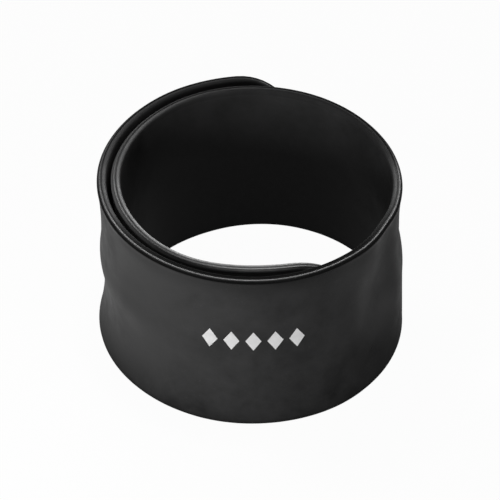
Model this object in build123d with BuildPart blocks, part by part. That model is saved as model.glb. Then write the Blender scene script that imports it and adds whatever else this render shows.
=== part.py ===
# Slap bracelet: a flat silicone band that has coiled itself up, standing on its lower edge.
# Millimetres, +Z up along the axis of the coil, the front of the coil towards -Y.
from build123d import *
import math
import os

# Band
BAND_WIDTH = 30.0
BAND_THICKNESS = 1.5
CORNER_RADIUS = 10.0

# Round lips along both edges: a flat crest between two round shoulders.
# The band stands on its lower lip, which is pressed flat to this depth.
LIP_CREST = 0.3
LIP_RADIUS = (BAND_THICKNESS - LIP_CREST) / 2
STANDING_FLAT = 0.2

# Coil, in degrees: the direction of the inner end seen from above, and how far the band turns from there
INNER_END_DIRECTION = -46.0
COIL_TURN = 600.0

# Place of the coil's axis: the outer end bulges at the back, and the part is centred on the origin
AXIS_X = 0.45
AXIS_Y = -1.75

# Angles between the sections that the wall is lofted through: along the coil, and round each corner
STATION_STEP = 15.0
CORNER_STEP = 15

# Steel strip and the pocket that holds it
SPRING_THICKNESS = 0.2
SPRING_WIDTH = 25.0
SPRING_END_MARGIN = 8.0
POCKET_GAP = 0.15
POCKET_END_GAP = 0.3

# Heights at which the wall's lean is given: under the upper lip, belly, waist, and the foot at the floor
UNDER_LIP_HEIGHT = 23.0
BELLY_HEIGHT = 15.0
WAIST_HEIGHT = 8.0

# One row every 40 degrees along the coil. Radius is the middle of the wall at the upper lip.
# The other columns say how far outwards from there the wall stands at each height.
ROW_STEP = 40.0
COIL_ROWS = [
    # radius, under_lip, belly, waist, foot
    (20.1, -0.10, 0.00, 0.10, 0.40),
    (20.3, -0.10, 0.00, 0.10, 0.40),
    (20.75, -0.15, 0.00, 0.00, 0.30),
    (21.5, -0.25, -0.10, -0.30, 0.40),
    (22.4, -0.25, -0.10, -0.10, 0.50),
    (23.05, -0.15, 0.00, 0.10, 0.25),
    (23.25, -0.15, 0.20, 0.60, 1.15),
    (23.1, -0.15, 0.50, 0.85, 1.50),
    (22.7, -0.30, 0.55, 0.85, 1.25),
    (22.5, -0.30, 0.30, 0.60, 1.15),
    (22.75, -0.35, 0.00, 0.25, 0.50),
    (23.05, -0.40, 0.00, 0.10, 0.60),
    (23.6, -0.45, 0.05, -0.45, 1.05),
    (24.85, -0.40, 0.00, -0.20, 0.80),
    (25.9, -0.30, 0.00, 0.10, 0.60),
    (26.3, -0.20, 0.10, 0.30, 0.60),
]


def row_values(turn):
    """Radius and leans at a turn in degrees, on a smooth curve through the rows."""
    place = min(max(turn / ROW_STEP, 0.0), len(COIL_ROWS) - 1.0)
    first = min(int(place), len(COIL_ROWS) - 2)
    t = place - first
    before = COIL_ROWS[max(first - 1, 0)]
    start = COIL_ROWS[first]
    end = COIL_ROWS[first + 1]
    after = COIL_ROWS[min(first + 2, len(COIL_ROWS) - 1)]
    values = []
    for p0, p1, p2, p3 in zip(before, start, end, after):
        slope_1 = (p2 - p0) / 2
        slope_2 = (p3 - p1) / 2
        blend_1 = 2 * t**3 - 3 * t**2 + 1
        blend_2 = t**3 - 2 * t**2 + t
        blend_3 = 3 * t**2 - 2 * t**3
        blend_4 = t**3 - t**2
        values.append(blend_1 * p1 + blend_2 * slope_1 + blend_3 * p2 + blend_4 * slope_2)
    return values


def parabola(height, low, middle, high):
    """Value at a height on the parabola through three (height, value) pairs."""
    (z0, v0), (z1, v1), (z2, v2) = low, middle, high
    share_0 = (height - z1) * (height - z2) / ((z0 - z1) * (z0 - z2))
    share_1 = (height - z0) * (height - z2) / ((z1 - z0) * (z1 - z2))
    share_2 = (height - z0) * (height - z1) / ((z2 - z0) * (z2 - z1))
    return v0 * share_0 + v1 * share_1 + v2 * share_2


def wall_middle(turn, height):
    """Distance of the wall's middle from the coil's axis."""
    radius, under_lip, belly, waist, foot = row_values(turn)
    belly_point = (BELLY_HEIGHT, belly)
    if height > BELLY_HEIGHT:
        lean = parabola(height, belly_point, (UNDER_LIP_HEIGHT, under_lip), (BAND_WIDTH, 0.0))
    else:
        lean = parabola(height, (0.0, foot), (WAIST_HEIGHT, waist), belly_point)
    return radius + lean


def turn_at_length(length):
    """Turn in degrees at which the band has run this far from its inner end."""
    turn = 0.0
    run = 0.0
    while run < length:
        run += math.radians(1.0) * row_values(turn + 0.5)[0]
        turn += 1.0
    overshoot = run - length
    return turn - math.degrees(overshoot / row_values(turn)[0])


def band_length():
    """Length of the band along its upper edge."""
    return sum(math.radians(1.0) * row_values(turn + 0.5)[0] for turn in range(int(COIL_TURN)))


def section_plane(turn):
    """Plane across the band: x outwards from the axis, y up."""
    direction = math.radians(INNER_END_DIRECTION - turn)
    outwards = (math.cos(direction), math.sin(direction), 0)
    along = (math.sin(direction), -math.cos(direction), 0)
    return Plane(origin=(AXIS_X, AXIS_Y, 0), x_dir=outwards, z_dir=along)


def side_arcs(turn, offset, low, high):
    """Two arcs up one side of the wall, from a low to a high level, meeting at the belly."""
    for bottom, top in ((low, BELLY_HEIGHT), (BELLY_HEIGHT, high)):
        levels = (bottom, (bottom + top) / 2, top)
        ThreePointArc(*[(wall_middle(turn, level) + offset, level) for level in levels])


def lip_outline(turn, level, side):
    """Rounded edge of the wall with a narrow flat crest: side is 1 above the level, -1 below it."""
    reach = LIP_RADIUS * math.sqrt(0.5)
    middle = wall_middle(turn, level)
    crest = level + side * LIP_RADIUS
    for face in (1, -1):
        centre = middle + face * LIP_CREST / 2
        start = (centre + face * LIP_RADIUS, level)
        ThreePointArc(start, (centre + face * reach, level + side * reach), (centre, crest))
    Line((middle - LIP_CREST / 2, crest), (middle + LIP_CREST / 2, crest))


def lipped_section(turn, drop):
    """Section of the silicone wall with a round lip along each edge."""
    low = drop - STANDING_FLAT + LIP_RADIUS
    high = BAND_WIDTH - drop - LIP_RADIUS
    with BuildSketch(section_plane(turn)) as section:
        with BuildLine():
            side_arcs(turn, BAND_THICKNESS / 2, low, high)
            side_arcs(turn, -BAND_THICKNESS / 2, low, high)
            lip_outline(turn, low, -1)
            lip_outline(turn, high, 1)
        make_face()
    return section.sketch


def strip_section(turn, thickness, width):
    """Section of a plain flat strip that follows the wall's middle."""
    low = (BAND_WIDTH - width) / 2
    high = (BAND_WIDTH + width) / 2
    with BuildSketch(section_plane(turn)) as section:
        with BuildLine():
            side_arcs(turn, thickness / 2, low, high)
            side_arcs(turn, -thickness / 2, low, high)
            for level in (low, high):
                middle = wall_middle(turn, level)
                Line((middle - thickness / 2, level), (middle + thickness / 2, level))
        make_face()
    return section.sketch


# Stations along the band: round the corners by equal angles, and evenly spaced between them.
# The first straight station stands a little past the corner, so that the edge runs level from there.
LENGTH = band_length()
FIRST_STRAIGHT = 1.25 * CORNER_RADIUS
MIDDLE_TURNS = [STATION_STEP * place for place in range(3, int(COIL_TURN / STATION_STEP) - 2)]


def corner_station(angle):
    """Distance from the band's end, and from its edge, at an angle round a corner."""
    across = CORNER_RADIUS * (1 - math.cos(math.radians(angle)))
    down = CORNER_RADIUS * (1 - math.sin(math.radians(angle)))
    return across, down


def band_stations():
    """Turn, and distance that the rounded corner takes off the edge, for each section."""
    corners = [corner_station(angle) for angle in range(0, 91, CORNER_STEP)]
    stations = [(turn_at_length(across), down) for across, down in corners]
    stations += [(turn_at_length(FIRST_STRAIGHT), 0.0)]
    stations += [(turn, 0.0) for turn in MIDDLE_TURNS]
    stations += [(turn_at_length(LENGTH - FIRST_STRAIGHT), 0.0)]
    stations += [(turn_at_length(LENGTH - across), down) for across, down in reversed(corners)]
    return stations


def strip_turns(end_margin):
    """Turns of the sections of a strip that stops short of both ends of the band."""
    first = turn_at_length(end_margin)
    last = turn_at_length(LENGTH - end_margin)
    return [first] + MIDDLE_TURNS + [last]


os.makedirs("parts", exist_ok=True)

# Sleeve
with BuildPart() as sleeve:
    loft(sections=[lipped_section(turn, drop) for turn, drop in band_stations()])
    split(bisect_by=Plane.XY, keep=Keep.TOP)
    pocket_thickness = SPRING_THICKNESS + 2 * POCKET_GAP
    pocket_width = SPRING_WIDTH + 2 * POCKET_GAP
    pocket_turns = strip_turns(SPRING_END_MARGIN - POCKET_END_GAP)
    loft(
        sections=[strip_section(turn, pocket_thickness, pocket_width) for turn in pocket_turns],
        mode=Mode.SUBTRACT,
    )
sleeve.part.label = "sleeve"
export_step(sleeve.part, "parts/sleeve.step")

# Spring
with BuildPart() as spring:
    spring_turns = strip_turns(SPRING_END_MARGIN)
    loft(sections=[strip_section(turn, SPRING_THICKNESS, SPRING_WIDTH) for turn in spring_turns])
spring.part.label = "spring"
export_step(spring.part, "parts/spring.step")

print("band length", round(LENGTH, 2))
print("sleeve volume", round(sleeve.part.volume, 1), "spring volume", round(spring.part.volume, 1))
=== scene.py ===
import math

import bpy
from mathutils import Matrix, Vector


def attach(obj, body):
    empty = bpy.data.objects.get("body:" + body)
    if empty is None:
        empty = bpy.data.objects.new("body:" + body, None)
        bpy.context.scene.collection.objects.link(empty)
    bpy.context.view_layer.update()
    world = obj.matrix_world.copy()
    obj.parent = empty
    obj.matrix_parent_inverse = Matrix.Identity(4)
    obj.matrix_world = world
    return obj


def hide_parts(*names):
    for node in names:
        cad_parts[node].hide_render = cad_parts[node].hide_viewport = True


bl_info = {
    "name": "Slap bracelet",
    "version": (1, 0, 0),
    "blender": (4, 5, 0),
    "location": "View3D > Sidebar > Bracelet",
    "description": "Dresses a coiled slap bracelet: silicone band, print, steel strip and stage",
    "category": "Object",
}

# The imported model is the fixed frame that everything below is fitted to
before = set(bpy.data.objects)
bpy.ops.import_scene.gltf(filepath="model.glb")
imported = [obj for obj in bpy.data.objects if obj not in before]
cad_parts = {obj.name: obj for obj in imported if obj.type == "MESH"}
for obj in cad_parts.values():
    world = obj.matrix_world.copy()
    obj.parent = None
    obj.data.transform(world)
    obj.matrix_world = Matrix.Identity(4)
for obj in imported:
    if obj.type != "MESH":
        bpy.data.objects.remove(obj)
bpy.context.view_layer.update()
MM = 0.001

# Band, as the model has it. The lip that it stands on is pressed flat to this depth.
BAND_WIDTH = 30.0 * MM
CORNER_RADIUS = 10.0 * MM
STANDING_FLAT = 0.2 * MM

# Coil, as the model has it: the direction of its inner end and its turn from there in degrees,
# its axis, and the heights at which the wall's lean is given
INNER_END_DIRECTION = -46.0
COIL_TURN = 600
AXIS = Vector((0.45 * MM, -1.75 * MM, 0.0))
UNDER_LIP_HEIGHT = 23.0 * MM
BELLY_HEIGHT = 15.0 * MM
WAIST_HEIGHT = 8.0 * MM

# Height over which the curves below and above the belly run into each other
BELLY_BLEND = 7.0 * MM

# Degrees between the points of the band's path, and steps in which a length along it is measured
PATH_STEP = 2
LENGTH_STEPS = 200

# One row every 40 degrees along the coil, in millimetres. Radius is the middle of the wall at the
# upper lip. The next columns say how far outwards from there the wall stands at each height, and
# rise is how far the upper edge rides up. The rows keep within half a millimetre of the model's.
ROW_STEP = 40.0
COLUMNS = ("radius", "under_lip", "belly", "waist", "foot", "rise")
COIL_ROWS = [
    (20.1, -0.10, 0.00, 0.10, 0.40, -1.10),
    (20.3, -0.10, 0.00, 0.10, 0.40, 0.35),
    (20.75, -0.15, 0.00, 0.00, 0.30, 0.15),
    (21.3, -0.25, -0.10, -0.30, 0.40, 0.45),
    (22.0, -0.25, -0.10, -0.10, 0.50, 0.35),
    (22.9, -0.15, 0.00, 0.10, 0.25, 0.30),
    (23.1, -0.15, 0.20, 0.60, 1.15, 0.15),
    (22.8, -0.15, 0.50, 0.85, 1.50, 0.05),
    (22.6, -0.30, 0.55, 0.80, 1.10, 0.00),
    (22.5, -0.30, 0.30, 0.55, 1.00, 0.10),
    (22.75, -0.35, 0.00, 0.25, 0.50, 0.30),
    (23.05, -0.40, 0.00, 0.00, 0.45, 0.40),
    (23.5, -0.45, 0.05, -0.45, 0.85, 0.15),
    (24.55, -0.40, 0.00, -0.20, 0.70, 0.00),
    (25.8, -0.30, 0.00, 0.10, 0.60, 0.00),
    (26.2, -0.20, 0.10, 0.30, 0.60, 0.00),
]

# Painted highlight on the two beads of the lip along the coil, one row every 40 degrees: negative where
# they are painted dark instead. The narrow bead is on the outer side and the wide one on the inner side.
# Crease is how strong the painted shade is in the crease outside the narrow bead and in the groove between
# the beads.
BEAD_COLUMNS = ("narrow_bead", "wide_bead", "crease")
BEAD_ROWS = [
    (0.0, 0.4, 0.0),
    (1.3, 1.6, 0.0),
    (0.3, 1.3, 0.2),
    (0.8, 0.85, 0.5),
    (0.25, 0.45, 0.7),
    (0.0, 0.1, 0.7),
    (-0.3, -0.2, 0.8),
    (-1.0, -0.4, 1.0),
    (1.5, 0.4, 1.0),
    (1.0, -1.0, 1.0),
    (1.2, -1.0, 1.0),
    (1.2, -0.8, 1.0),
    (0.75, 0.45, 1.0),
    (0.1, 0.15, 1.0),
    (-0.9, -0.1, 1.0),
    (-1.0, -0.2, 1.0),
]

# Lip: how far it reaches out of the flat panel, and its height on the band. Its crease starts at a
# distance out of the wall's middle, and its beads and crease fade into each other over a blend.
# Where the groove's painted shade is weak, it takes up the beads' painted highlight by the share in groove
# fill.
LIP_REACH = 1.2 * MM
LIP_START = BAND_WIDTH - LIP_REACH
CREASE_START = 0.42 * MM
BEAD_BLEND = 0.16 * MM
GROOVE_FILL = 1.6

# Section of the lip, from the outer face over the edge to the inner face, in millimetres.
# Reach is the distance out of the flat panel, through is the distance from the wall's middle.
# The third column is the painted light on each point, by how exposed it is: painted highlight above zero,
# painted shade below.
LIP_SECTION = [
    # reach, through, painted light
    (0.00, 0.72, -0.15),
    (0.30, 0.735, -0.35),
    (0.55, 0.75, -0.6),
    (0.72, 0.73, -0.8),
    (0.83, 0.66, -1.0),
    (0.90, 0.58, -1.0),
    (0.97, 0.50, -1.0),
    (1.06, 0.43, -0.4),
    (1.15, 0.36, 0.8),
    (1.18, 0.28, 1.0),
    (1.17, 0.19, 0.6),
    (1.13, 0.11, -0.7),
    (1.10, 0.04, -1.0),
    (1.13, -0.04, -0.7),
    (1.17, -0.13, 0.5),
    (1.20, -0.24, 1.0),
    (1.20, -0.38, 1.0),
    (1.15, -0.56, 0.9),
    (1.03, -0.69, 0.5),
    (0.85, -0.75, 0.1),
    (0.60, -0.76, 0.0),
    (0.30, -0.735, 0.0),
    (0.00, -0.72, 0.0),
]

# Soft hollows and swellings of the loose silicone: turn along the coil in degrees, then
# height, half length, half height and depth in millimetres. A negative depth is a hollow.
DENTS = [
    ("right_hollow_top", 340.0, 25.0, 2.8, 6.0, -0.32),
    ("right_hollow", 348.0, 16.0, 3.2, 6.5, -0.34),
    ("right_ridge_top", 355.0, 24.0, 3.0, 5.5, 0.26),
    ("right_ridge", 363.5, 15.5, 3.2, 6.5, 0.32),
    ("side_ridge", 333.5, 16.0, 3.0, 8.0, 0.60),
    ("side_notch", 315.0, 19.5, 5.0, 1.6, -0.18),
    ("right_foot_hollow", 354.0, 5.0, 4.5, 4.0, -0.30),
    ("front_swelling", 381.0, 8.0, 4.0, 3.5, 0.22),
    ("left_hollow", 470.0, 9.0, 7.0, 4.0, -0.15),
]

# Scale of the slow waviness of the skin
WAVINESS_SCALE = 70.0

# Points of the band that are closer than this are one
MERGE_DISTANCE = 0.01 * MM

# Points along the sides and through the thickness of a printed diamond
DIAMOND_POINTS = 9
DIAMOND_LAYERS = 2

# Noise scales of the materials, from soft clouds to moulded grain
CLOUD_SCALE = 160.0
OIL_SCALE = 180.0
MOTTLING_SCALE = 520.0
INK_SCALE = 900.0
SPECK_SCALE = 2600.0
GRAIN_SCALE = 5200.0

# How much finer than a metre the streaks of the brushed steel are along each axis
BRUSHING = (120.0, 120.0, 9000.0)

# Distance out of the wall's middle beyond which a point is on a face
FACE_START = 0.6 * MM

# Painted shade in a strip below the lip on the outer face: how far below the lip it is faint and full, and
# the turns of the coil between which it grows
UNDER_LIP_SHADE = (2.4 * MM, 0.2 * MM)
UNDER_LIP_SHADE_TURNS = (200, 260)

# Painted light on the outer face in the gap between the turns: how far below the lip it is faint and full,
# the turns between which it comes and goes, and the heights on the lip between which it stops.
# Between the last two turns, at the left, it comes to cover the whole lip.
GAP_LIGHT_STRIP = (3.0 * MM, 1.0 * MM)
GAP_LIGHT_COMES = (10, 30)
GAP_LIGHT_GOES = (220, 180)
GAP_LIGHT_EDGE = (0.4 * MM, 0.7 * MM)
GAP_LIGHT_LEFT_TURNS = (75, 120)

# Silicone: how strongly clouds and mottling show in its tint, its roughness and its relief
CLOUD_TINT = 1.8
MOTTLING_TINT = 1.2
TINT_START = 1.0
CLOUD_ROUGHNESS = 0.45
MOTTLING_ROUGHNESS = 0.2
CLOUD_RELIEF = 3.0
MOTTLING_RELIEF = 2.0
GRAIN_RELIEF = 0.5

# How pale the painted highlight on the beads is, and how much that varies with the mottling
HIGHLIT = 0.55
HIGHLIT_MOTTLING = 0.9

# Strength of the relief of silicone and ink, and of the steel's brushing
RELIEF = 0.3
BRUSHING_RELIEF = 0.25

# Brightness of the ink where it is thin
THIN_INK = 0.86

# Strengths of the pale tint: painted light in the gap between the turns and up the inner face, and real
# dust in the specks
GAP_LIGHT = 0.6
INNER_FACE_LIGHT = 0.09
SPECKS = 0.1
SPECK_START = 0.66
SPECK_SLOPE = 6.0

# Strengths of the painted shade in the lip's creases and in the strip below the lip
SHELTER_SHADE = 0.8
UNDER_LIP_SHADE_STRENGTH = 0.6

# How much duller the beads are where they stay dark, and glossier where their painted shade lies
DULL_ROUGHNESS = 0.5
SHELTER_GLOSS = 0.16

# Floor: half of its side, its tints in the light and in the coil's shade, and how white the camera sees it
FLOOR_HALF = 3.0
FLOOR_TINT = (0.26, 0.26, 0.26)
FLOOR_SHADE_TINT = (0.02, 0.02, 0.02)
FLOOR_WHITE = 0.97
WHITE = (1.0, 1.0, 1.0, 1.0)

# Finish of a surface that hardly mirrors
MATT_ROUGHNESS = 0.9
MATT_SPECULAR = 0.1

# Lights: name, place, size, power, and whether surfaces mirror them
ROOM_LIGHT = 0.08
LIGHT_TARGET = (0.0, 0.0, 0.015)
LIGHTS = [
    ("overhead", (0.0, 0.1, 0.5), 0.5, 0.55, True),
    ("behind", (0.0, 0.42, 0.36), 0.35, 1.5, True),
    ("backdrop", (0.09, 0.5, 0.14), 0.3, 1.0, True),
    ("fill", (-0.2, -0.55, 0.06), 0.3, 3.0, False),
]


def row_values(turn, rows=COIL_ROWS):
    """Values at a turn in degrees, on a smooth curve through the rows of a table."""
    place = min(max(turn / ROW_STEP, 0.0), len(rows) - 1.0)
    first = min(int(place), len(rows) - 2)
    t = place - first
    places = (max(first - 1, 0), first, first + 1, min(first + 2, len(rows) - 1))
    near = [rows[place] for place in places]
    values = []
    for p0, p1, p2, p3 in zip(*near):
        slope_1 = (p2 - p0) / 2
        slope_2 = (p3 - p1) / 2
        blend_1 = 2 * t**3 - 3 * t**2 + 1
        blend_2 = t**3 - 2 * t**2 + t
        blend_3 = 3 * t**2 - 2 * t**3
        blend_4 = t**3 - t**2
        values.append(blend_1 * p1 + blend_2 * slope_1 + blend_3 * p2 + blend_4 * slope_2)
    return values


def path_point(turn):
    """Place of the band's middle at a turn, at floor level."""
    direction = math.radians(INNER_END_DIRECTION - turn)
    radius = row_values(turn)[0] * MM
    return AXIS + Vector((math.cos(direction), math.sin(direction), 0.0)) * radius


def length_at(turn):
    """Length of band from its inner end to a turn."""
    points = [path_point(turn * step / LENGTH_STEPS) for step in range(LENGTH_STEPS + 1)]
    return sum((end - start).length for start, end in zip(points, points[1:]))


class Value:
    """A socket that carries a number, so that maths on it reads as a plain expression."""

    def __init__(self, graph, socket):
        self.graph = graph
        self.socket = socket

    def __add__(self, other):
        return self.graph.math("ADD", self, other)

    def __sub__(self, other):
        return self.graph.math("SUBTRACT", self, other)

    def __rsub__(self, other):
        return self.graph.math("SUBTRACT", other, self)

    def __mul__(self, other):
        return self.graph.math("MULTIPLY", self, other)

    def __truediv__(self, other):
        return self.graph.math("DIVIDE", self, other)

    def __rtruediv__(self, other):
        return self.graph.math("DIVIDE", other, self)

    def __pow__(self, other):
        return self.graph.math("POWER", self, other)

    def __neg__(self):
        return self.graph.math("MULTIPLY", self, -1.0)

    __radd__ = __add__
    __rmul__ = __mul__


class Graph:
    """A node tree, with one method that adds any node and feeds its sockets."""

    def __init__(self, tree):
        self.tree = tree

    def node(self, kind, settings=None, values=None):
        """Add a node: its settings first, then the values or links of its inputs."""
        node = self.tree.nodes.new(kind)
        for name, setting in (settings or {}).items():
            setattr(node, name, setting)
        for key, value in (values or {}).items():
            self.feed(node.inputs[key], value)
        return node

    def feed(self, socket, value):
        """Link a value or a socket to an input, or set its number."""
        if isinstance(value, Value):
            value = value.socket
        if isinstance(value, bpy.types.NodeSocket):
            self.tree.links.new(value, socket)
        else:
            socket.default_value = value

    def math(self, operation, *values):
        """A Math node as a value."""
        node = self.node("ShaderNodeMath", {"operation": operation}, dict(enumerate(values)))
        return Value(self, node.outputs[0])

    def value(self, node, output=0):
        """One output of a node as a value."""
        return Value(self, node.outputs[output])

    def limit(self, value):
        """A value held between 0 and 1."""
        return self.math("MINIMUM", self.math("MAXIMUM", value, 0.0), 1.0)

    def ramp(self, value, start, end):
        """A value turned into 0 at the start and 1 at the end, and held between them."""
        return self.limit((value - start) / (end - start))

    def ease(self, value):
        """A value from 0 to 1 that leaves and arrives gently."""
        return value * value * (3.0 - 2.0 * value)

    def noise(self, place, scale, detail=2.0, roughness=0.5):
        """Noise from 0 to 1 at a place."""
        values = {"Vector": place, "Scale": scale, "Detail": detail, "Roughness": roughness}
        return self.value(self.node("ShaderNodeTexNoise", values=values))

    def blend(self, share, first, second):
        """Colour socket between two colours."""
        mix = self.node("ShaderNodeMix", {"data_type": "RGBA"})
        self.feed(mix.inputs["Factor"], share)
        colours = [each for each in mix.inputs if each.type == "RGBA"]
        for socket, colour in zip(colours, (first, second)):
            if not isinstance(colour, bpy.types.NodeSocket):
                colour = (*colour, 1.0)
            self.feed(socket, colour)
        return [each for each in mix.outputs if each.type == "RGBA"][0]

    def vector(self, operation, *values, output="Vector"):
        """A Vector Math node's output socket."""
        node = self.node("ShaderNodeVectorMath", {"operation": operation}, dict(enumerate(values)))
        return node.outputs[output]

    def combine(self, x, y, z):
        """A vector socket from three numbers."""
        return self.node("ShaderNodeCombineXYZ", values={0: x, 1: y, 2: z}).outputs[0]

    def split(self, vector):
        """The three numbers of a vector socket."""
        node = self.node("ShaderNodeSeparateXYZ", values={0: vector})
        return [self.value(node, axis) for axis in range(3)]

    def here(self):
        """Place of the shaded point on its object."""
        return self.node("ShaderNodeTexCoord").outputs["Object"]

    def show(self, shader, kind="ShaderNodeOutputMaterial"):
        """Send a shader node to the tree's output."""
        self.feed(self.node(kind).inputs["Surface"], shader.outputs[0])


class ShapeGraph(Graph):
    """A Geometry Nodes tree with named inputs."""

    def __init__(self, name, inputs):
        tree = bpy.data.node_groups.new(name, "GeometryNodeTree")
        super().__init__(tree)
        tree.interface.new_socket("Geometry", in_out="OUTPUT", socket_type="NodeSocketGeometry")
        tree.interface.new_socket("Geometry", in_out="INPUT", socket_type="NodeSocketGeometry")
        for label, kind, default in inputs:
            socket = tree.interface.new_socket(label, in_out="INPUT", socket_type=kind)
            if default is not None:
                socket.default_value = default
        self.source = tree.nodes.new("NodeGroupInput")
        self.result = tree.nodes.new("NodeGroupOutput")

    def given(self, label):
        """A named input of the tree as a value."""
        return Value(self, self.source.outputs[label])

    def position(self):
        """The place of each point as three numbers."""
        return self.split(self.node("GeometryNodeInputPosition").outputs[0])

    def place(self, geometry, x, y, z):
        """Set the place of each point."""
        values = {"Geometry": geometry, "Position": self.combine(x, y, z)}
        return self.node("GeometryNodeSetPosition", values=values).outputs[0]

    def attribute(self, name):
        """A stored number of each point."""
        node = self.node("GeometryNodeInputNamedAttribute", {"data_type": "FLOAT"}, {"Name": name})
        return self.value(node)

    def store(self, geometry, name, value):
        """Keep a number on each point for the materials."""
        values = {"Geometry": geometry, "Name": name, "Value": value}
        return self.node("GeometryNodeStoreNamedAttribute", {"data_type": "FLOAT"}, values).outputs[0]

    def path(self):
        """Curve of the band's middle, from the mesh that the tree is given."""
        values = {"Mesh": self.given("Geometry")}
        return self.node("GeometryNodeMeshToCurve", values=values).outputs[0]

    def lay(self, coil, path, geometry):
        """Flat geometry laid on the coil along a path."""
        values = {"Geometry": geometry, "Path": path, "Unevenness": self.given("Unevenness")}
        return self.node("GeometryNodeGroup", {"node_tree": coil}, values).outputs[0]

    def finish(self, geometry, smooth=True):
        """Shade, realize and paint the geometry, and send it out."""
        values = {"Geometry": geometry, "Shade Smooth": smooth}
        shaded = self.node("GeometryNodeSetShadeSmooth", values=values)
        real = self.node("GeometryNodeRealizeInstances", values={0: shaded.outputs[0]})
        values = {"Geometry": real.outputs[0], "Material": self.given("Material")}
        painted = self.node("GeometryNodeSetMaterial", values=values)
        self.feed(self.result.inputs[0], painted.outputs[0])


FLOAT = "NodeSocketFloat"
INTEGER = "NodeSocketInt"
MATERIAL = "NodeSocketMaterial"
GEOMETRY = "NodeSocketGeometry"
OBJECT = "NodeSocketObject"


def parabola(height, low, middle, high):
    """Value at a height on the parabola through three (height, value) pairs."""
    (z0, v0), (z1, v1), (z2, v2) = low, middle, high
    share_0 = (height - z1) * (height - z2) * (1 / ((z0 - z1) * (z0 - z2)))
    share_1 = (height - z0) * (height - z2) * (1 / ((z1 - z0) * (z1 - z2)))
    share_2 = (height - z0) * (height - z1) * (1 / ((z2 - z0) * (z2 - z1)))
    return share_0 * v0 + share_1 * v1 + share_2 * v2


def coil_group():
    """Node group that lays flat geometry on the coil.

    Flat geometry has its length along x, its height along y and its distance out of the
    wall's middle along z. The group stores that flat place for the materials."""
    graph = ShapeGraph("Lay on coil", [("Path", GEOMETRY, None), ("Unevenness", FLOAT, 0.0)])
    along, height, out = graph.position()
    flat = {"Geometry": graph.given("Geometry"), "Name": "band_place"}
    flat["Value"] = graph.node("GeometryNodeInputPosition").outputs[0]
    stored = graph.node("GeometryNodeStoreNamedAttribute", {"data_type": "FLOAT_VECTOR"}, flat)
    sample_settings = {"mode": "LENGTH", "use_all_curves": True}
    path = {"Curves": graph.given("Path"), "Length": along}
    middle = graph.node("GeometryNodeSampleCurve", sample_settings, path)
    sampled = []
    for column in COLUMNS[1:] + BEAD_COLUMNS:
        values = {**path, "Value": graph.attribute(column)}
        sample = graph.node("GeometryNodeSampleCurve", sample_settings, values)
        sampled.append(graph.value(sample, "Value"))
    under_lip, belly, waist, foot, rise, narrow, wide, crease = sampled
    belly_point = (BELLY_HEIGHT, belly)
    upper = parabola(height, belly_point, (UNDER_LIP_HEIGHT, under_lip), (BAND_WIDTH, 0.0))
    lower = parabola(height, (0.0, foot), (WAIST_HEIGHT, waist), belly_point)
    above = graph.ease(graph.limit((height - BELLY_HEIGHT) / BELLY_BLEND + 0.5))
    offset = out + lower + above * (upper - lower) + dent_depth(graph, along, height)
    offset = offset + graph.given("Unevenness") * soft_noise(graph, along, height)
    outwards = graph.vector("CROSS_PRODUCT", (0.0, 0.0, 1.0), middle.outputs["Tangent"])
    outwards = graph.vector("NORMALIZE", outwards)
    values = {0: outwards, "Scale": offset}
    scaled = graph.node("ShaderNodeVectorMath", {"operation": "SCALE"}, values)
    lifted = height + rise * (height / BAND_WIDTH)
    standing = graph.combine(0.0, 0.0, graph.math("MAXIMUM", lifted, 0.0))
    moved = graph.vector("ADD", middle.outputs["Position"], scaled.outputs[0])
    moved = graph.vector("ADD", moved, standing)
    # Painted highlight and painted shade on the lip, stored for the material
    wear, dull = lip_finish(graph, height, out, narrow, wide, crease)
    highlighted = graph.store(stored.outputs[0], "wear", wear)
    dulled = graph.store(highlighted, "dull", dull)
    laid = graph.node("GeometryNodeSetPosition", values={"Geometry": dulled, "Position": moved})
    graph.feed(graph.result.inputs[0], laid.outputs[0])
    return graph.tree


def lip_finish(graph, height, out, narrow, wide, crease):
    """Painted highlight (above zero) or painted shade (below zero) on each point of the lip, and how dull
    it is, from the paleness of its beads and its crease.
    """
    on_narrow = graph.limit(out / BEAD_BLEND + 0.5)
    paleness = wide + on_narrow * (narrow - wide)
    outside = graph.limit((out - CREASE_START) / BEAD_BLEND)
    wear = graph.attribute("wear")
    shade_share = graph.math("MAXIMUM", -wear, 0.0)
    filled = shade_share * (1.0 - crease) * (1.0 - outside) * GROOVE_FILL
    pale = (graph.math("MAXIMUM", wear, 0.0) + filled) * paleness
    # Painted shade in the crease and in the groove between the beads
    painted_shade = shade_share * crease
    on_lip = graph.limit((height - LIP_START) / (2.0 * BEAD_BLEND))
    dull = on_lip * (1.0 - graph.limit(paleness)) * (1.0 - outside)
    return pale - painted_shade, dull


def dent_depth(graph, along, height):
    """Sum of the soft hollows and swellings at a place on the band."""
    total = 0.0
    for _, turn, level, half_length, half_height, depth in DENTS:
        across = (along - length_at(turn)) / (half_length * MM)
        up = (height - level * MM) / (half_height * MM)
        falloff = graph.math("EXPONENT", -(across * across + up * up))
        total = falloff * (depth * MM) + total
    return total


def soft_noise(graph, along, height):
    """Slow waviness of the silicone skin, from -1 to 1."""
    noise = graph.noise(graph.combine(along, height, 0.0), WAVINESS_SCALE, detail=1.0)
    return (noise - 0.5) * 2.0


def lip_profile(graph):
    """Curve across the edge: out of the edge along x, through the wall along y."""
    section = graph.node("GeometryNodeObjectInfo", values={"Object": graph.given("Lip Section")})
    line = graph.node("GeometryNodeMeshToCurve", values={"Mesh": section.outputs["Geometry"]})
    kind = {"spline_type": "CATMULL_ROM"}
    rounded = graph.node("GeometryNodeCurveSplineType", kind, {"Curve": line.outputs[0]})
    values = {"Geometry": rounded.outputs[0], "Resolution": graph.given("Lip Steps")}
    return graph.node("GeometryNodeSetSplineResolution", values=values).outputs[0]


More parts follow.
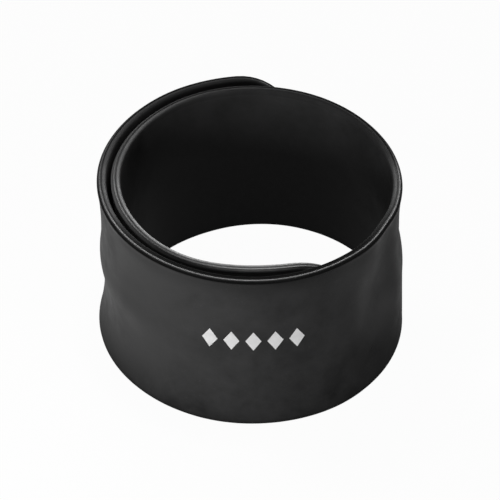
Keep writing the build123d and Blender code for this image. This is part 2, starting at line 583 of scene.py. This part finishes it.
def panel(graph, path_length):
    """Flat grid of one face of the band, inside its lips, with rounded corners."""
    columns = graph.given("Columns")
    rows = graph.given("Rows")
    values = {"Size X": 1.0, "Size Y": 1.0, "Vertices X": columns, "Vertices Y": rows}
    grid = graph.node("GeometryNodeMeshGrid", values=values)
    index = graph.value(graph.node("GeometryNodeInputIndex"))
    column = graph.math("FLOOR", (index + 0.5) / rows)
    row = index - column * rows
    last = columns - 1.0
    corner_columns = graph.given("Corner Columns")
    from_end = graph.math("MINIMUM", column, last - column)
    angle = graph.math("MINIMUM", from_end / corner_columns, 1.0) * (math.pi / 2)
    lip = graph.given("Lip Reach")
    radius = graph.given("Corner Radius") - lip
    across = radius * (1.0 - graph.math("COSINE", angle))
    down = radius * (1.0 - graph.math("SINE", angle))
    straight = (path_length - 2.0 * lip - 2.0 * radius) / (last - 2.0 * corner_columns)
    past_corner = graph.math("MAXIMUM", from_end - corner_columns, 0.0)
    from_tip = lip + across + past_corner * straight
    far_half = graph.math("GREATER_THAN", column, last / 2.0)
    along = from_tip + far_half * (path_length - 2.0 * from_tip)
    full_height = graph.given("Width") + graph.given("Standing Flat")
    half_height = full_height / 2.0 - lip - down
    middle = full_height / 2.0 - graph.given("Standing Flat")
    height = middle + half_height * (2.0 * row / (rows - 1.0) - 1.0)
    return graph.place(grid.outputs["Mesh"], along, height, 0.0)


def band_tree(coil, settings):
    """Tree that builds the silicone band along the path it is given."""
    inputs = [
        ("Width", FLOAT, BAND_WIDTH),
        ("Standing Flat", FLOAT, STANDING_FLAT),
        ("Wall", FLOAT, settings.wall),
        ("Corner Radius", FLOAT, CORNER_RADIUS),
        ("Lip Section", OBJECT, None),
        ("Lip Reach", FLOAT, LIP_REACH),
        ("Unevenness", FLOAT, settings.unevenness),
        ("Columns", INTEGER, 340),
        ("Rows", INTEGER, 45),
        ("Corner Columns", INTEGER, 14),
        ("Lip Steps", INTEGER, 3),
        ("Material", MATERIAL, None),
    ]
    graph = ShapeGraph("Silicone band", inputs)
    path = graph.path()
    path_length = graph.value(graph.node("GeometryNodeCurveLength", values={"Curve": path}))
    sheet = panel(graph, path_length)
    # An edge with a single face beside it is on the rim
    neighbours = graph.value(graph.node("GeometryNodeInputMeshEdgeNeighbors"))
    rim = graph.math("LESS_THAN", neighbours, 1.5)
    rim_curve = graph.node("GeometryNodeMeshToCurve", values={"Mesh": sheet, "Selection": rim})
    rim_turned = graph.node("GeometryNodeReverseCurve", values={"Curve": rim_curve.outputs[0]})
    values = {"Curve": rim_turned.outputs[0]}
    rim_up = graph.node("GeometryNodeSetCurveNormal", {"mode": "Z_UP"}, values)
    values = {"Curve": rim_up.outputs[0], "Profile Curve": lip_profile(graph)}
    lips = graph.node("GeometryNodeCurveToMesh", values=values)
    half_wall = graph.given("Wall") / 2.0
    lift = {"Geometry": sheet, "Translation": graph.combine(0.0, 0.0, half_wall)}
    outer = graph.node("GeometryNodeTransform", values=lift)
    drop = {"Geometry": sheet, "Translation": graph.combine(0.0, 0.0, -half_wall)}
    inner = graph.node("GeometryNodeTransform", values=drop)
    turned = graph.node("GeometryNodeFlipFaces", values={"Mesh": outer.outputs[0]})
    joined = graph.node("GeometryNodeJoinGeometry")
    for part in (turned.outputs[0], inner.outputs[0], lips.outputs[0]):
        graph.tree.links.new(part, joined.inputs[0])
    merge = {"Geometry": joined.outputs[0], "Distance": MERGE_DISTANCE}
    merged = graph.node("GeometryNodeMergeByDistance", values=merge)
    graph.finish(graph.lay(coil, path, merged.outputs[0]))
    return graph.tree


def print_tree(coil, settings, band):
    """Tree that lays a row of printed diamonds on the outer face of the band, half sunk in it."""
    inputs = [
        ("Middle", FLOAT, length_at(math.degrees(settings.middle))),
        ("Level", FLOAT, settings.level),
        ("Count", INTEGER, settings.count),
        ("Spacing", FLOAT, settings.spacing),
        ("Diamond Width", FLOAT, settings.width),
        ("Diamond Height", FLOAT, settings.height),
        ("Ink", FLOAT, settings.ink),
        ("Face", FLOAT, band.wall / 2),
        ("Unevenness", FLOAT, band.unevenness),
        ("Material", MATERIAL, None),
    ]
    graph = ShapeGraph("Printed diamonds", inputs)
    side = math.sqrt(0.5)
    thickness = graph.given("Ink") * 2.0
    block = {
        "Size": graph.combine(side, side, thickness),
        "Vertices X": DIAMOND_POINTS,
        "Vertices Y": DIAMOND_POINTS,
        "Vertices Z": DIAMOND_LAYERS,
    }
    square = graph.node("GeometryNodeMeshCube", values=block)
    values = {"Geometry": square.outputs["Mesh"], "Rotation": (0.0, 0.0, math.pi / 4)}
    turned = graph.node("GeometryNodeTransform", values=values)
    stretch = graph.combine(graph.given("Diamond Width"), graph.given("Diamond Height"), 1.0)
    diamond = graph.node("GeometryNodeTransform", values={"Geometry": turned.outputs[0], "Scale": stretch})
    half_row = (graph.given("Count") - 1.0) * graph.given("Spacing") / 2.0
    start = graph.combine(graph.given("Middle") - half_row, graph.given("Level"), graph.given("Face"))
    step = graph.combine(graph.given("Spacing"), 0.0, 0.0)
    line = {"Count": graph.given("Count"), "Start Location": start, "Offset": step}
    points = graph.node("GeometryNodeMeshLine", {"mode": "OFFSET"}, line)
    row = {"Points": points.outputs[0], "Instance": diamond.outputs[0]}
    copies = graph.node("GeometryNodeInstanceOnPoints", values=row)
    real = graph.node("GeometryNodeRealizeInstances", values={0: copies.outputs[0]})
    laid = graph.lay(coil, graph.path(), real.outputs[0])
    outwards = graph.node("GeometryNodeFlipFaces", values={"Mesh": laid})
    graph.finish(outwards.outputs[0], smooth=False)
    return graph.tree


def path_mesh():
    """Polyline of the band's middle, with both tables stored on its points."""
    turns = range(0, COIL_TURN + 1, PATH_STEP)
    points = [path_point(turn) for turn in turns]
    edges = [(place, place + 1) for place in range(len(points) - 1)]
    mesh = bpy.data.meshes.new("coil_path")
    mesh.from_pydata(points, edges, [])
    for columns, rows, unit in ((COLUMNS, COIL_ROWS, MM), (BEAD_COLUMNS, BEAD_ROWS, 1.0)):
        for number, column in enumerate(columns):
            numbers = [row_values(turn, rows)[number] * unit for turn in turns]
            mesh.attributes.new(column, "FLOAT", "POINT").data.foreach_set("value", numbers)
    return mesh


def section_mesh():
    """Polyline of the lip's section from the inner face to the outer, with its painted highlight and shade
    on its points.

    The rim runs round the band so that the section's y points inwards."""
    rows = list(reversed(LIP_SECTION))
    points = [(reach * MM, -through * MM, 0.0) for reach, through, _ in rows]
    mesh = bpy.data.meshes.new("lip_section")
    mesh.from_pydata(points, [(place, place + 1) for place in range(len(points) - 1)], [])
    numbers = [wear for _, _, wear in rows]
    mesh.attributes.new("wear", "FLOAT", "POINT").data.foreach_set("value", numbers)
    return mesh


def placed(name, mesh):
    """Object at the origin that holds a mesh."""
    piece = bpy.data.objects.new(name, mesh)
    bpy.context.scene.collection.objects.link(piece)
    return piece


def grown(name, tree, source, inputs):
    """Mesh object made by a tree from a source mesh, with the modifier gone."""
    seed = placed("seed", source)
    modifier = seed.modifiers.new("Shape", "NODES")
    modifier.node_group = tree
    for item in tree.interface.items_tree:
        if item.in_out == "INPUT" and item.name in inputs:
            modifier[item.identifier] = inputs[item.name]
    depsgraph = bpy.context.evaluated_depsgraph_get()
    mesh = bpy.data.meshes.new_from_object(seed.evaluated_get(depsgraph))
    bpy.data.objects.remove(seed)
    mesh.name = name
    return placed(name, mesh)


def new_material(name):
    """Node material with only its output node."""
    material = bpy.data.materials.new(name)
    material.use_nodes = True
    material.node_tree.nodes.clear()
    return material, Graph(material.node_tree)


def band_place(graph):
    """Length along the band, height, and distance out of the wall's middle, as laid flat."""
    stored = graph.node("ShaderNodeAttribute", {"attribute_name": "band_place"})
    return graph.split(stored.outputs["Vector"])


def between(graph, along, turns):
    """Value that goes from 0 to 1 between two turns of the coil."""
    start, end = turns
    return graph.ramp(along, length_at(start), length_at(end))


def below_lip(graph, height, strip):
    """Value that goes from 0 to 1 between two distances below the lip."""
    faint, full = strip
    return graph.ramp(height, LIP_START - faint, LIP_START - full)


def under_lip_shade(graph):
    """Share of the painted shade in the strip below the lip of the outer face, from 0 to 1."""
    along, height, out = band_place(graph)
    on_face = graph.math("GREATER_THAN", out, FACE_START)
    return below_lip(graph, height, UNDER_LIP_SHADE) * between(graph, along, UNDER_LIP_SHADE_TURNS) * on_face


def gap_painted_light(graph):
    """Share of painted light on the outer face near the top of the gap between the turns, from 0 to 1."""
    along, height, out = band_place(graph)
    in_gap = between(graph, along, GAP_LIGHT_COMES) * between(graph, along, GAP_LIGHT_GOES)
    low, high = GAP_LIGHT_EDGE
    on_edge = graph.ramp(height, LIP_START + low, LIP_START + high)
    covered = 1.0 - on_edge * (1.0 - between(graph, along, GAP_LIGHT_LEFT_TURNS))
    outside = graph.math("GREATER_THAN", out, CREASE_START)
    return below_lip(graph, height, GAP_LIGHT_STRIP) * in_gap * covered * outside


def inner_face(graph):
    """How far up the face that lies against the wrist is, from 0 to 1, and 0 on the other face."""
    _, height, out = band_place(graph)
    return graph.limit(height / BAND_WIDTH) * graph.math("LESS_THAN", out, -FACE_START)


def stored_number(graph, name):
    """A number that the shape has stored on its points."""
    return graph.value(graph.node("ShaderNodeAttribute", {"attribute_name": name}), "Fac")


def bumped(graph, height, strength, depth):
    """Normal socket of a surface with a fine relief."""
    values = {"Height": height, "Strength": strength, "Distance": depth}
    return graph.node("ShaderNodeBump", values=values).outputs[0]


def silicone_material(settings):
    """Matt black moulded silicone with dust specks, painted highlights on the beads of its lip, painted
    shade in its creases and below the lip, and painted light in the gap between the turns and up its inner
    face.
    """
    material, graph = new_material("black_silicone")
    place = graph.here()
    cloud = graph.noise(place, CLOUD_SCALE, detail=3.0)
    mottling = graph.noise(place, MOTTLING_SCALE, detail=4.0, roughness=0.65)
    specks = graph.noise(place, SPECK_SCALE)
    grain = graph.noise(place, GRAIN_SCALE)
    wear = stored_number(graph, "wear")
    dull = stored_number(graph, "dull")
    # Painted highlight: pale tint on the lip's beads
    highlit = HIGHLIT + HIGHLIT_MOTTLING * (mottling - 0.5)
    highlighted = graph.math("MAXIMUM", wear, 0.0) * highlit * settings.wear
    shade_share = graph.limit(-wear)
    shade = graph.limit(cloud * CLOUD_TINT + mottling * MOTTLING_TINT - TINT_START)
    tint = graph.blend(shade, settings.colour_low, settings.colour_high)
    tint = graph.blend(graph.limit(highlighted), tint, settings.colour_painted_light_and_dust)
    # Painted shade: darker tint in the lip's creases and in the strip below the lip
    painted_shade = graph.limit(shade_share * SHELTER_SHADE + under_lip_shade(graph) * UNDER_LIP_SHADE_STRENGTH)
    tint = graph.blend(painted_shade, tint, settings.colour_shade)
    specked = graph.limit((specks - SPECK_START) * SPECK_SLOPE) * SPECKS
    # Dust specks, plus painted light in the gap between the turns and growing up the inner face
    dust_and_painted_light = specked + gap_painted_light(graph) * GAP_LIGHT + inner_face(graph) * INNER_FACE_LIGHT
    tint = graph.blend(dust_and_painted_light, tint, settings.colour_painted_light_and_dust)
    uneven = (mottling - 0.5) * MOTTLING_ROUGHNESS + (cloud - 0.5) * CLOUD_ROUGHNESS
    on_lip = dull * DULL_ROUGHNESS - shade_share * (1.0 - dull) * SHELTER_GLOSS
    roughness = settings.roughness + uneven + on_lip
    height = grain * GRAIN_RELIEF + mottling * MOTTLING_RELIEF + cloud * CLOUD_RELIEF
    normal = bumped(graph, height, RELIEF, settings.grain_depth)
    values = {"Base Color": tint, "Roughness": roughness, "Normal": normal}
    shader = graph.node("ShaderNodeBsdfPrincipled", values=values)
    shader.inputs["Specular IOR Level"].default_value = 0.5
    # Painted shade: where the lip's beads stay dark, a black surface that hardly mirrors is mixed in
    values = {"Base Color": (*settings.colour_shade, 1.0), "Roughness": MATT_ROUGHNESS, "Normal": normal}
    glossless = graph.node("ShaderNodeBsdfPrincipled", values=values)
    glossless.inputs["Specular IOR Level"].default_value = MATT_SPECULAR
    values = {0: graph.limit(shade_share * dull), 1: shader.outputs[0], 2: glossless.outputs[0]}
    graph.show(graph.node("ShaderNodeMixShader", values=values))
    return material


def ink_material(settings):
    """White ink, printed on rubber: slightly uneven and a little glossy."""
    material, graph = new_material("white_ink")
    place = graph.here()
    cover = graph.noise(place, INK_SCALE, detail=3.0)
    grain = graph.noise(place, GRAIN_SCALE)
    thin = tuple(channel * THIN_INK for channel in settings.colour)
    tint = graph.blend(graph.limit(cover * 1.6 - 0.3), thin, settings.colour)
    normal = bumped(graph, grain * 0.6 + cover, RELIEF, settings.relief)
    values = {"Base Color": tint, "Roughness": 0.42 + cover * 0.16, "Normal": normal}
    graph.show(graph.node("ShaderNodeBsdfPrincipled", values=values))
    return material


def steel_material(settings):
    """Rolled spring steel, brushed along its length."""
    material, graph = new_material("rolled_steel")
    place = graph.here()
    streaks = graph.noise(graph.vector("MULTIPLY", place, BRUSHING), 1.0, detail=3.0, roughness=0.6)
    oil = graph.noise(place, OIL_SCALE, detail=3.0)
    tint = graph.blend(graph.limit(oil * 2.4 - 1.3), settings.colour, settings.colour_oiled)
    normal = bumped(graph, streaks, BRUSHING_RELIEF, settings.relief)
    values = {"Base Color": tint, "Roughness": 0.2 + streaks * 0.25, "Normal": normal}
    shader = graph.node("ShaderNodeBsdfPrincipled", values=values)
    shader.inputs["Metallic"].default_value = 1.0
    graph.show(shader)
    return material


def number_setting(name, description, default):
    """Property that holds a plain number."""
    return bpy.props.FloatProperty(name=name, description=description, default=default)


def share_setting(name, description, default):
    """Property that holds a share."""
    return bpy.props.FloatProperty(name=name, description=description, default=default, subtype="FACTOR")


def length_setting(name, description, default):
    """Property that holds a length."""
    return bpy.props.FloatProperty(name=name, description=description, default=default, unit="LENGTH")


def angle_setting(name, description, degrees):
    """Property that holds an angle, given in degrees."""
    default = math.radians(degrees)
    return bpy.props.FloatProperty(name=name, description=description, default=default, subtype="ANGLE")


def place_setting(name, description, default):
    """Property that holds a place with two or three coordinates."""
    return bpy.props.FloatVectorProperty(
        name=name, description=description, default=default, subtype="TRANSLATION", size=len(default)
    )


def colour_setting(name, description, default):
    """Property that holds a colour."""
    return bpy.props.FloatVectorProperty(
        name=name, description=description, default=default, subtype="COLOR", size=3
    )


class BraceletBandSettings(bpy.types.PropertyGroup):
    wall: length_setting("Wall", "Thickness of the band between its lips", 1.44 * MM)
    unevenness: length_setting("Unevenness", "Slow waviness of the skin", 0.08 * MM)
    colour_low: colour_setting("Dark tint", "Darker patches of the silicone", (0.01, 0.01, 0.0102))
    colour_high: colour_setting("Light tint", "Lighter patches of the silicone", (0.032, 0.032, 0.0324))
    # Pale tint for the painted highlights on the beads, the painted light in the gap and on the inner face,
    # and the dust specks
    colour_painted_light_and_dust: colour_setting("Worn tint", "Silicone where it is rubbed pale", (0.2, 0.2, 0.2))
    # Tint of the painted shade in the lip's creases and below the lip
    colour_shade: colour_setting("Deep tint", "Silicone in creases", (0.003, 0.003, 0.003))
    # Strength of the painted highlight on the lip's beads
    wear: share_setting("Wear", "How much the lip's beads are rubbed pale", 1.0)
    roughness: share_setting("Roughness", "Roughness of the silicone", 0.4)
    grain_depth: length_setting("Grain depth", "Depth of the fine moulded grain", 0.02 * MM)


class BraceletSpringSettings(bpy.types.PropertyGroup):
    colour: colour_setting("Steel tint", "Colour of the bright strip", (0.62, 0.62, 0.63))
    colour_oiled: colour_setting("Oiled tint", "Colour where rolling oil has dried", (0.42, 0.4, 0.37))
    relief: length_setting("Relief", "Depth of the brushing", 0.01 * MM)


class BraceletStageSettings(bpy.types.PropertyGroup):
    glow_peak: number_setting("Glow peak", "Brightness of the lit table at its brightest point", 0.54)
    glow_centre: place_setting("Glow centre", "Brightest point of the lit table", (-40.0 * MM, -45.0 * MM))
    glow_reach: length_setting("Glow reach", "Distance at which the glow is down to a quarter", 70.0 * MM)
    glow_inside: number_setting("Glow inside", "Brightness of the lit table inside the coil", 0.06)
    glow_start: length_setting("Glow start", "Distance from the axis at which the glow begins", 24.0 * MM)
    glow_width: length_setting("Glow width", "Distance over which the glow grows", 6.0 * MM)
    shade_side: length_setting("Shade side", "Distance over which the shade on the right grows", 15.0 * MM)
    shade_back: length_setting("Shade back", "How far back the shade on the right reaches", 7.0 * MM)
    shade_width: length_setting("Shade width", "Distance over which the glow grows in the shade", 20.0 * MM)
    glint: number_setting("Glint", "Extra brightness that the folds on the right mirror", 0.44)
    glint_centre: place_setting("Glint centre", "Middle of the extra brightness", (38.0 * MM, -14.0 * MM))
    glint_reach: length_setting("Glint reach", "Distance over which the extra brightness fades", 6.5 * MM)
    camera_height: angle_setting("Camera height", "Angle of the camera above the floor", 42.57)
    camera_distance: length_setting("Camera distance", "Distance from the camera to its target", 0.382)
    lens: number_setting("Lens", "Focal length in millimetres", 171.6)
    target: place_setting("Target", "Point the camera looks at", (-0.06 * MM, -1.75 * MM, 15.3 * MM))


class BraceletPrintSettings(bpy.types.PropertyGroup):
    middle: angle_setting("Middle", "Turn along the coil at the middle of the print", 404.0)
    level: length_setting("Level", "Height of the print's middle above the floor", 17.6 * MM)
    count: bpy.props.IntProperty(name="Count", description="Diamonds in the row", default=5)
    spacing: length_setting("Spacing", "From one diamond to the next", 3.3 * MM)
    width: length_setting("Diamond width", "Width of one diamond", 2.4 * MM)
    height: length_setting("Diamond height", "Height of one diamond", 3.6 * MM)
    ink: length_setting("Ink", "How proud the ink stands of the silicone", 0.03 * MM)
    relief: length_setting("Relief", "Depth of the ink's unevenness", 0.01 * MM)
    colour: colour_setting("Ink tint", "Colour of the ink", (0.9, 0.9, 0.9))


class BRACELET_OT_band(bpy.types.Operator):
    """Build the silicone band on the coil, in place of the plain sleeve"""

    bl_idname = "bracelet.band"
    bl_label = "Silicone band"

    def execute(self, context):
        settings = context.scene.bracelet_band
        tree = band_tree(coil_group(), settings)
        section = placed("lip_section", section_mesh())
        inputs = {"Lip Section": section, "Material": silicone_material(settings)}
        band = grown("silicone_band", tree, path_mesh(), inputs)
        bpy.data.objects.remove(section)
        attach(band, "root")
        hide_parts("sleeve")
        return {"FINISHED"}


class BRACELET_OT_print(bpy.types.Operator):
    """Print a plain row of diamonds at the front of the outer turn"""

    bl_idname = "bracelet.print"
    bl_label = "Print"

    def execute(self, context):
        settings = context.scene.bracelet_print
        band = context.scene.bracelet_band
        tree = print_tree(coil_group(), settings, band)
        row = grown("printed_diamonds", tree, path_mesh(), {"Material": ink_material(settings)})
        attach(row, "root")
        return {"FINISHED"}


class BRACELET_OT_spring(bpy.types.Operator):
    """Give the hidden steel strip its brushed finish"""

    bl_idname = "bracelet.spring"
    bl_label = "Steel strip"

    def execute(self, context):
        spring = bpy.data.objects["spring"]
        spring.data.materials.clear()
        spring.data.materials.append(steel_material(context.scene.bracelet_spring))
        return {"FINISHED"}


class BRACELET_OT_stage(bpy.types.Operator):
    """Lay the floor, light it softly and set the camera"""

    bl_idname = "bracelet.stage"
    bl_label = "Stage"

    def execute(self, context):
        settings = context.scene.bracelet_stage
        scene = context.scene
        lay_floor(settings)
        light_scene(scene)
        scene.camera = aim_camera(settings)
        return {"FINISHED"}


def distance(graph, place, centre):
    """Length of the way between two flat places."""
    x, y = place[0] - centre[0], place[1] - centre[1]
    return graph.math("SQRT", x * x + y * y)


def table_light(graph, settings, place):
    """Glow of the lit table and share of the coil's shade at a place on the floor.

    The table is brightest at the front left. It is dim inside the coil, and stays so for longer
    outwards in the shade on the right, where a small bright spot is mirrored by the folds."""
    x, y = place
    right = graph.limit((x - AXIS.x) / settings.shade_side)
    right = right * graph.limit((settings.shade_back - y) / settings.shade_side)
    width = settings.glow_width + right * (settings.shade_width - settings.glow_width)
    outside = graph.limit((distance(graph, place, AXIS) - settings.glow_start) / width) ** 2.0
    away = distance(graph, place, settings.glow_centre) / settings.glow_reach
    glow = settings.glow_peak / ((1.0 + away * away) * (1.0 + away * away))
    away = distance(graph, place, settings.glint_centre) / settings.glint_reach
    glow = glow + graph.math("EXPONENT", -(away * away)) * settings.glint
    glow = settings.glow_inside + outside * (glow - settings.glow_inside)
    return glow, right * (1.0 - outside)


def lay_floor(settings):
    """Wide floor that the camera sees as white and that surfaces mirror as an unevenly lit table."""
    half = FLOOR_HALF
    corners = [(-half, -half, 0), (half, -half, 0), (half, half, 0), (-half, half, 0)]
    mesh = bpy.data.meshes.new("floor")
    mesh.from_pydata(corners, [], [(0, 1, 2, 3)])
    floor = placed("floor", mesh)
    material, graph = new_material("pale_floor")
    place = graph.split(graph.here())[:2]
    glow, shade = table_light(graph, settings, place)
    tint = graph.blend(shade, FLOOR_TINT, FLOOR_SHADE_TINT)
    values = {"Base Color": tint, "Roughness": MATT_ROUGHNESS}
    pale = graph.node("ShaderNodeBsdfPrincipled", values=values)
    pale.inputs["Specular IOR Level"].default_value = MATT_SPECULAR
    lit = graph.node("ShaderNodeEmission", values={"Color": WHITE, "Strength": glow})
    table = graph.node("ShaderNodeAddShader", values={0: pale.outputs[0], 1: lit.outputs[0]})
    white = graph.node("ShaderNodeEmission", values={"Color": WHITE, "Strength": 1.0})
    seen = graph.value(graph.node("ShaderNodeLightPath"), "Is Camera Ray")
    values = {0: seen * FLOOR_WHITE, 1: table.outputs[0], 2: white.outputs[0]}
    graph.show(graph.node("ShaderNodeMixShader", values=values))
    mesh.materials.append(material)


def area_light(name, place, size, power, mirrored):
    """Square soft light that faces the coil."""
    data = bpy.data.lights.new(name, "AREA")
    data.size = size
    data.energy = power
    lamp = bpy.data.objects.new(name, data)
    lamp.location = place
    lamp.rotation_euler = (Vector(LIGHT_TARGET) - Vector(place)).to_track_quat("-Z", "Y").to_euler()
    lamp.visible_glossy = mirrored
    bpy.context.scene.collection.objects.link(lamp)


def light_scene(scene):
    """Soft light overhead, two behind, a low one in front that nothing mirrors, and a dim room."""
    world = bpy.data.worlds.new("studio")
    world.use_nodes = True
    world.node_tree.nodes.clear()
    graph = Graph(world.node_tree)
    background = graph.node("ShaderNodeBackground", values={"Color": WHITE, "Strength": ROOM_LIGHT})
    graph.show(background, kind="ShaderNodeOutputWorld")
    scene.world = world
    for light in LIGHTS:
        area_light(*light)
    scene.view_settings.view_transform = "Standard"


def aim_camera(settings):
    """Camera in front of the coil, looking down on it."""
    data = bpy.data.cameras.new("camera")
    data.lens = settings.lens
    data.sensor_width = 36.0
    camera = bpy.data.objects.new("camera", data)
    back = Vector((0.0, -math.cos(settings.camera_height), math.sin(settings.camera_height)))
    camera.location = Vector(settings.target) + back * settings.camera_distance
    camera.rotation_euler = (-back).to_track_quat("-Z", "Y").to_euler()
    data.clip_start = 0.01
    data.clip_end = 20.0
    bpy.context.scene.collection.objects.link(camera)
    return camera


class BRACELET_PT_panel(bpy.types.Panel):
    bl_idname = "BRACELET_PT_panel"
    bl_label = "Slap bracelet"
    bl_space_type = "VIEW_3D"
    bl_region_type = "UI"
    bl_category = "Bracelet"

    def draw(self, context):
        for operator in OPERATORS:
            self.layout.operator(operator.bl_idname)


OPERATORS = (BRACELET_OT_band, BRACELET_OT_print, BRACELET_OT_spring, BRACELET_OT_stage)
SETTINGS = {
    "bracelet_band": BraceletBandSettings,
    "bracelet_print": BraceletPrintSettings,
    "bracelet_spring": BraceletSpringSettings,
    "bracelet_stage": BraceletStageSettings,
}
CLASSES = (*SETTINGS.values(), *OPERATORS, BRACELET_PT_panel)


def register():
    for each in CLASSES:
        bpy.utils.register_class(each)
    for name, group in SETTINGS.items():
        setattr(bpy.types.Scene, name, bpy.props.PointerProperty(type=group))


def unregister():
    for name in SETTINGS:
        delattr(bpy.types.Scene, name)
    for each in reversed(CLASSES):
        bpy.utils.unregister_class(each)


def main():
    """Make every piece and the stage."""
    register()
    bpy.ops.bracelet.band()
    bpy.ops.bracelet.print()
    bpy.ops.bracelet.spring()
    bpy.ops.bracelet.stage()


if __name__ == "__main__":
    main()
